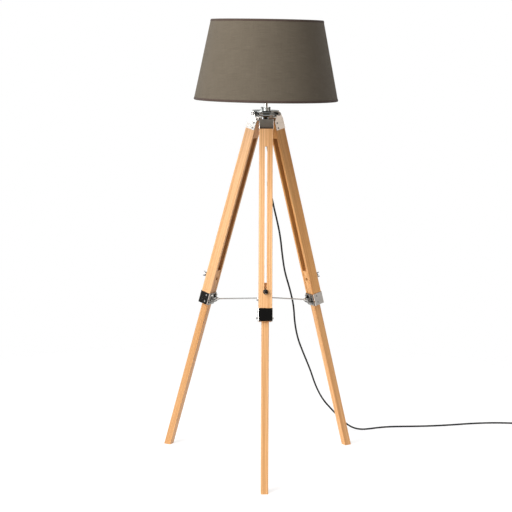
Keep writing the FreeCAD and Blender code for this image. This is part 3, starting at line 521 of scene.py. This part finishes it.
def rolled_trim(name, top):
    """Tape folded over the rim: down the outside, round the wire and up the inside."""
    bend, slack = 14, 0.0006    # steps round the wire, and room between the lining and the tape
    wire_out = -CLOTH - LINING - RIM_WIRE - slack
    turn_radius = RIM_WIRE + 0.0003
    centre = RIM_WIRE
    path = [(TRIM_HEIGHT, 0.00002), (TRIM_HEIGHT, TRIM * 0.7), (TRIM_HEIGHT - 0.0006, TRIM + 0.0001),
            (0.0038, TRIM + 0.00015), (0.0020, TRIM + 0.0001)]
    for k in range(bend + 1):
        turn = math.pi * k / bend
        reach = turn_radius + TRIM
        half = (TRIM - (wire_out - reach)) / 2
        path.append((centre - reach * math.sin(turn), TRIM - half + half * math.cos(turn)))
    path.append((0.0052, wire_out - turn_radius - TRIM + 0.0002))
    path.append((0.0058, -CLOTH - LINING - slack))
    loops = []
    for i in range(SHADE_STEPS):
        angle = math.tau * i / SHADE_STEPS
        spot = Vector((math.sin(angle) * 30.0, math.cos(angle) * 30.0, 7.0 if top else 2.0))
        loop = []
        for k, (up, out) in enumerate(path):
            pucker = 0.00012 * noise.noise(spot + Vector((0, 0, k * 0.35)))
            hem = 0.00025 * noise.noise(spot * 0.3 + Vector((0, 0, 9.0))) if k < 3 else 0.0
            edge = CONE_SLANT - up - hem if top else up + hem
            loop.append(cone_point(angle, edge, out + pucker))
        loops.append(loop)
    loops.append(loops[0])
    bm = bmesh.new()
    skin(bm, loops, closed_loops=False)
    return mesh_object(name, bm, 60.0)


# ---------------------------------------------------------------- cord and plug
def make_cord(material):
    """The lead as a round tube on one smooth curve."""
    data = bpy.data.curves.new("power_lead", "CURVE")
    data.dimensions = "3D"
    data.resolution_u = 16
    data.bevel_depth = CORD_RADIUS
    data.bevel_resolution = 6
    data.use_fill_caps = True
    spline = data.splines.new("NURBS")
    spline.points.add(len(CORD_ROUTE) - 1)
    for point, place in zip(spline.points, CORD_ROUTE):
        point.co = (*(Vector(place) + AXIS), 1.0)
    spline.order_u = 3
    spline.use_endpoint_u = True
    cord = bpy.data.objects.new("power_lead", data)
    bpy.context.scene.collection.objects.link(cord)
    return dress(cord, material, "head", "black_rubber", "power_cord")


def plug_place():
    """Matrix from plug coordinates, X out of the cord's end, to the frame."""
    end, before = Vector(CORD_ROUTE[-1]), Vector(CORD_ROUTE[-2])
    heading = (end - before).normalized()
    turn = Matrix.Rotation(math.atan2(heading.y, heading.x), 4, "Z")
    return Matrix.Translation(end + AXIS) @ turn


def plug_body(material):
    """Flat two-pin plug: ribbed neck, flared waist and a grip with finger ridges."""
    around = 56
    place = plug_place()
    loops = []
    for station in range(round(PLUG_END / PLUG_STEP) + 1):
        x = station * PLUG_STEP
        # half width and half height grow from the lead to the neck, and from there to the grip
        neck = eased((x - 0.001) / PLUG_NECK)
        flare = eased((x - PLUG_NECK + 0.002) / 0.013)
        wide = 0.0035 + 0.0018 * neck + 0.0070 * flare
        high = 0.0035 + 0.0012 * neck + (PLUG_HALF_HEIGHT - 0.0047) * flare
        waist = math.sin(math.pi * min(1.0, max(0.0, (x - 0.031) / 0.029)))
        wide += 0.0010 * eased((x - 0.034) / 0.026) - 0.0007 * waist * flare
        if x < PLUG_NECK - 0.003:
            rib = 0.00055 * (0.5 + 0.5 * math.cos(math.tau * x / RIB_PITCH)) * eased(x / 0.002)
            wide, high = wide - rib, high - rib
        ridge = 0.0
        if RIDGES[0] < x < RIDGES[1]:
            ridge = 0.00045 * (0.5 - 0.5 * math.cos(math.tau * (x - RIDGES[0]) / RIDGE_PITCH))
        front = max(0.0, (x - (PLUG_END - FRONT_EDGE)) / FRONT_EDGE)
        shrink = FRONT_EDGE * (1 - math.sqrt(max(0.0, 1 - front * front)))
        wide, high = wide - shrink, high - shrink
        power = 2.0 + 2.6 * flare       # 2 is an ellipse, and more is squarer
        lift = (PLUG_HALF_HEIGHT - CORD_RADIUS) * eased(x / (PLUG_NECK + 0.010))
        lift += 0.0006 * (1 - eased(x / 0.01))
        lift = max(lift, high - CORD_RADIUS)
        loop = []
        for i in range(around):
            turn = math.tau * i / around
            c, s = math.cos(turn), math.sin(turn)
            side = math.copysign(abs(c) ** (2 / power), c)
            rise = math.copysign(abs(s) ** (2 / power), s)
            grip = ridge * max(0.0, abs(c) - 0.80) / 0.20
            loop.append(place @ Vector((x, (wide - grip) * side, lift + high * rise)))
        loops.append(loop)
    bm = bmesh.new()
    capped(bm, loops)
    return dress(mesh_object("plug_moulding", bm, 55.0), material, "head", "black_plastic", "plug_body")


def plug_prongs(metal_finish, sleeve_finish):
    """Two round pins with insulating sleeves next to the plug."""
    along_x = Matrix.Rotation(math.radians(90), 4, "Y")
    lift = PLUG_HALF_HEIGHT - CORD_RADIUS
    tips, sleeves = bmesh.new(), bmesh.new()
    for y in (-PRONG_Y, PRONG_Y):
        start = plug_place() @ Matrix.Translation((PLUG_END, y, lift)) @ along_x
        round_end = [(0.0020 * math.cos(t), 0.0170 + 0.0020 * math.sin(t))
                     for t in [math.radians(a) for a in range(0, 90, 10)]]
        lathe(tips, [(0.0018, 0.0095), (0.0020, 0.0098), *round_end, (0.0001, 0.0190)], start, 40)
        lathe(sleeves, [(0.0027, -0.001), (0.0027, 0.0004), (0.0022, 0.0008), (0.00195, 0.0012),
                        (0.00185, 0.0096), (0.0017, 0.0100)], start, 40)
    tips = dress(mesh_object("plug_prongs", tips), metal_finish, "head", "contact_metal", "plug_pins")
    sleeves = dress(mesh_object("plug_prong_sleeves", sleeves), sleeve_finish, "head", "black_plastic")
    return tips, sleeves


def strain_relief(material):
    """Tapered rubber sleeve with flexing grooves under the head."""
    gland_low, gland_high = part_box("cable_gland")
    tip, flange = gland_low.z, GLAND_FLANGE_Z
    outline = [(CORD_RADIUS, tip), (0.0037, tip), (0.0040, tip + 0.0006)]
    steps = SLEEVE_GROOVES * 8
    for k in range(steps + 1):
        share = k / steps
        radius = 0.0041 + 0.0026 * share
        groove = 0.0
        if 0 < k < steps:
            groove = 0.0008 * max(0.0, math.cos(math.tau * share * SLEEVE_GROOVES)) ** 0.6
        outline.append((radius - groove, tip + 0.0010 + SLEEVE_LENGTH * share))
    outline += [(0.0070, flange - 0.0054), (0.0078, flange - 0.0050), (0.0080, flange - 0.0044),
                (0.0080, flange - 0.0006), (0.0074, flange), (0.0052, flange),
                (0.0052, gland_high.z), (0.0010, gland_high.z)]
    bm = bmesh.new()
    lathe(bm, outline, Matrix.Translation(AXIS), 56)
    return dress(mesh_object("strain_relief", bm), material, "head", "black_rubber", "cable_gland")


# ---------------------------------------------------------------- room
def area_light(name, place, aim, size, power):
    """White rectangular light; place and aim are measured from the foot of the lamp's axis."""
    place, aim = AXIS + Vector(place), AXIS + Vector(aim)
    data = bpy.data.lights.new(name, "AREA")
    data.shape = "RECTANGLE"
    data.size, data.size_y = size
    data.energy = power
    light = bpy.data.objects.new(name, data)
    bpy.context.scene.collection.objects.link(light)
    light.location = place
    light.rotation_euler = (aim - place).to_track_quat("-Z", "Y").to_euler()
    light.visible_camera = False


def make_floor():
    """Round pale floor that glows a little and fades into the white background."""
    bm = bmesh.new()
    bmesh.ops.create_circle(bm, cap_ends=True, segments=96, radius=4.0)
    floor = mesh_object("floor", bm)
    g = Surface("floor", Base_Color=(0.45, 0.45, 0.45), Roughness=0.8, Specular_IOR_Level=0.1,
                Emission_Color=(1.0, 1.0, 1.0), Emission_Strength=0.66)
    x, y, _ = g.split(g.coordinates(offset=-AXIS))
    fade = g.span(g.hypotenuse(x, y), 0.9, 1.9, smooth=True)
    clear = g.add("ShaderNodeBsdfTransparent")
    blend = g.add("ShaderNodeMixShader", {0: fade, 1: g.shader.outputs[0], 2: clear.outputs[0]})
    g.feed(g.out.inputs["Surface"], blend.outputs[0])
    floor.data.materials.append(g.material)


def make_world():
    """Studio walls and cards for reflections, dark behind the camera; plain white as a background."""
    world = bpy.data.worlds.new("studio")
    bpy.context.scene.world = world
    world.use_nodes = True
    g = Graph(world.node_tree)
    x, y, z = g.split(g.add("ShaderNodeTexCoord").outputs["Generated"])

    def grey(value):
        return (value, value, value)

    walls = g.mix(g.span(x, -0.7, 0.7), grey(0.50), grey(0.40))
    left_floor = g.times(g.span(x, -0.3, -0.6), g.span(z, -0.06, -0.12))
    colour = g.mix(left_floor, walls, grey(0.03))
    right_card = g.times(g.span(x, 0.45, 0.65), g.times(g.span(z, -0.20, -0.12), g.span(z, 0.16, 0.06)))
    colour = g.mix(right_card, colour, (0.78, 0.68, 0.60))
    left_card = g.times(g.span(x, -0.55, -0.70), g.times(g.span(z, -0.10, -0.05), g.span(z, 0.20, 0.10)))
    colour = g.mix(left_card, colour, grey(1.35))
    dark = g.mix(g.span(z, 0.37, 0.50), grey(0.012), grey(0.06))
    behind = g.times(g.span(y, -0.66, -0.80), g.times(g.span(z, -0.22, -0.12), g.span(z, 0.75, 0.60)))
    colour = g.mix(behind, colour, dark)
    seen = g.add("ShaderNodeLightPath").outputs["Is Camera Ray"]
    colour = g.mix(seen, colour, grey(1.0))
    surface = g.add("ShaderNodeBackground", {"Color": colour, "Strength": 1.0})
    g.add("ShaderNodeOutputWorld", {"Surface": surface.outputs[0]})


def make_room():
    """World, floor and lights, with colours shown as they are."""
    make_world()
    make_floor()
    area_light("key", (-2.1, -2.1, 1.85), (0, 0, 1.15), (1.6, 1.7), 80.0)
    area_light("fill", (3.0, 2.2, 2.0), (0, 0, 0.9), (2.0, 2.0), 30.0)
    area_light("top", (-1.4, -1.6, 3.6), (0, 0, 0.7), (2.4, 2.4), 75.0)
    view = bpy.context.scene.view_settings
    view.view_transform = "Standard"
    view.look = "None"
    view.exposure = 0.0
    view.gamma = 1.0


# ---------------------------------------------------------------- materials by node
def paint(material, *names):
    """Give CAD nodes a material."""
    for name in names:
        for holder in NODES[name].material_slots:
            holder.material = material


# the pith's place and drift of each upper leg, as wood() takes them
PITHS = {"front": ((0.060, 0.085), (0.012, -0.010)),
         "right": ((-0.050, 0.075), (-0.014, 0.006)),
         "left": ((0.035, -0.090), (0.010, 0.012))}
# colour factors of each leg's upper and lower piece, which are painted light: the front and left upper
# pieces paler as if brightly lit, the right leg warmer and more saturated as on its shaded side, and the
# left leg's lower piece darker as if in shade
TONES_AND_PAINTED_LIGHT = {"front": ((1.12, 1.17, 1.42), (0.96, 0.98, 1.10)),
         "right": ((1.12, 1.05, 0.92), (1.06, 1.03, 0.98)),
         "left": ((0.99, 1.07, 1.30), (0.82, 0.79, 0.76))}


def paint_legs():
    """Wood for the three legs, cut from six different boards, each piece also tinted with painted light."""
    for seed, (side, angle) in enumerate(LEG_ANGLES.items()):
        pith, drift = PITHS[side]
        # painted light: these factors make each piece look lit or shaded
        upper_tone_and_light, lower_tone_and_light = TONES_AND_PAINTED_LIGHT[side]
        paint(wood("wood_upper_" + side, angle, pith, drift, upper_tone_and_light, 1.0 + seed, groove=True),
              "upper_leg_" + side)
        other = (-pith[1] * 0.8, pith[0] * 1.4)
        paint(wood("wood_lower_" + side, angle, other, drift[::-1], lower_tone_and_light, 7.0 + seed),
              "lower_leg_" + side)


def paint_hardware():
    """Metal, plastic and glass of the CAD nodes; gives back the contact metal for the plug's pins."""
    chrome = metal("chrome", (0.60, 0.595, 0.58), 0.04, 0.05)
    # painted shade: a darker copy of the chrome, standing in for the dark surroundings that the head
    # reflects
    shaded_chrome = metal("shaded_chrome", (0.34, 0.35, 0.34), 0.04, 0.04)
    plate = metal("chrome_plate", (0.78, 0.75, 0.71), 0.03, 0.05, brushed=0.1, grain=(1, 1, 0.05))
    steel = metal("steel_fixings", (0.34, 0.33, 0.32), 0.14, 0.10, brushed=0.3)
    cast = metal("cast_metal", (0.34, 0.33, 0.31), 0.26, 0.14, cast=1.0)
    for side in LEG_ANGLES:
        paint(plate, "top_bracket_" + side, "foot_collar_" + side)
        paint(cast, "rod_bracket_" + side)
        paint(steel, "leg_fixings_" + side, "clamp_bolt_" + side)
        paint(steel, "clamp_washer_" + side, "wing_nut_" + side)
        paint(chrome, "spreader_rod_" + side)
    paint(chrome, "spreader_ring", "stem_tube")
    paint(shaded_chrome, "head_plate", "head_collar", "head_screws")
    paint(plate, "hinge_spacers")
    paint(steel, "hinge_bolts", "hinge_nuts")
    holder = moulded("holder_plastic", (0.022, 0.022, 0.023), 0.34)
    paint(holder, "lampholder_cap", "lampholder_shell", "shade_ring_nuts", "switch_bar")
    paint(moulded("ceramic", (0.80, 0.79, 0.74), 0.16, 0.00008, 300.0, Coat_Weight=0.6,
                  Coat_Roughness=0.08), "lampholder_core")
    brass = metal("contact_metal", (0.78, 0.66, 0.42), 0.18, 0.15, brushed=0.3)
    paint(brass, "lampholder_contacts")
    paint(metal("cap_metal", (0.72, 0.70, 0.66), 0.18, 0.15, brushed=0.2), "bulb_cap")
    paint(moulded("opal_glass", (0.92, 0.91, 0.87), 0.10, 0.00003, 60.0, dust=0.10, Coat_Weight=0.7,
                  Coat_Roughness=0.05, Subsurface_Weight=0.25, Subsurface_Scale=0.01), "bulb_glass")
    wire = moulded("white_wire", (0.82, 0.82, 0.80), 0.32, 0.0002, 700.0, dust=0.15)
    paint(wire, "shade_carrier", "shade_top_ring", "shade_bottom_ring")
    return brass


def dress_shade():
    """Cloth, lining and the two folded trims."""
    cover = cloth_cone("shade_cloth", 0.0, CLOTH, 0.0009, 0.0005)
    dress(cover, cloth("shade_fabric", (0.134, 0.110, 0.080)), "head", "shade_fabric", "shade_cover")
    liner = cloth_cone("shade_liner", -CLOTH - 0.00002, LINING, 0.0, 0.0)
    laminate = moulded("shade_lining", (0.43, 0.41, 0.375), 0.45, 0.00012, 260.0, dust=0.10)
    dress(liner, laminate, "head", "shade_lining", "shade_lining")
    tape = cloth("trim_fabric", (0.085, 0.058, 0.047), pitch=0.0007, flat=False)
    trims = [dress(rolled_trim("trim_top", True), tape, "head", "trim_fabric", "shade_top_trim"),
             dress(rolled_trim("trim_bottom", False), tape, "head", "trim_fabric", "shade_bottom_trim")]


def dress_cord(brass):
    """Lead, plug and strain relief."""
    rubber = moulded("black_rubber", (0.008, 0.008, 0.008), 0.55, 0.0002, 1100.0, dust=0.12,
                     Specular_IOR_Level=0.25)
    plastic = moulded("black_plastic", (0.012, 0.012, 0.013), 0.42, 0.00025, 1300.0, dust=0.15)
    cord = make_cord(rubber)
    plug = plug_body(plastic)
    prongs, sleeves = plug_prongs(brass, plastic)
    strain_relief(rubber)


make_camera()
brass = paint_hardware()
dress_cord(brass)
dress_shade()
paint_legs()
make_room()
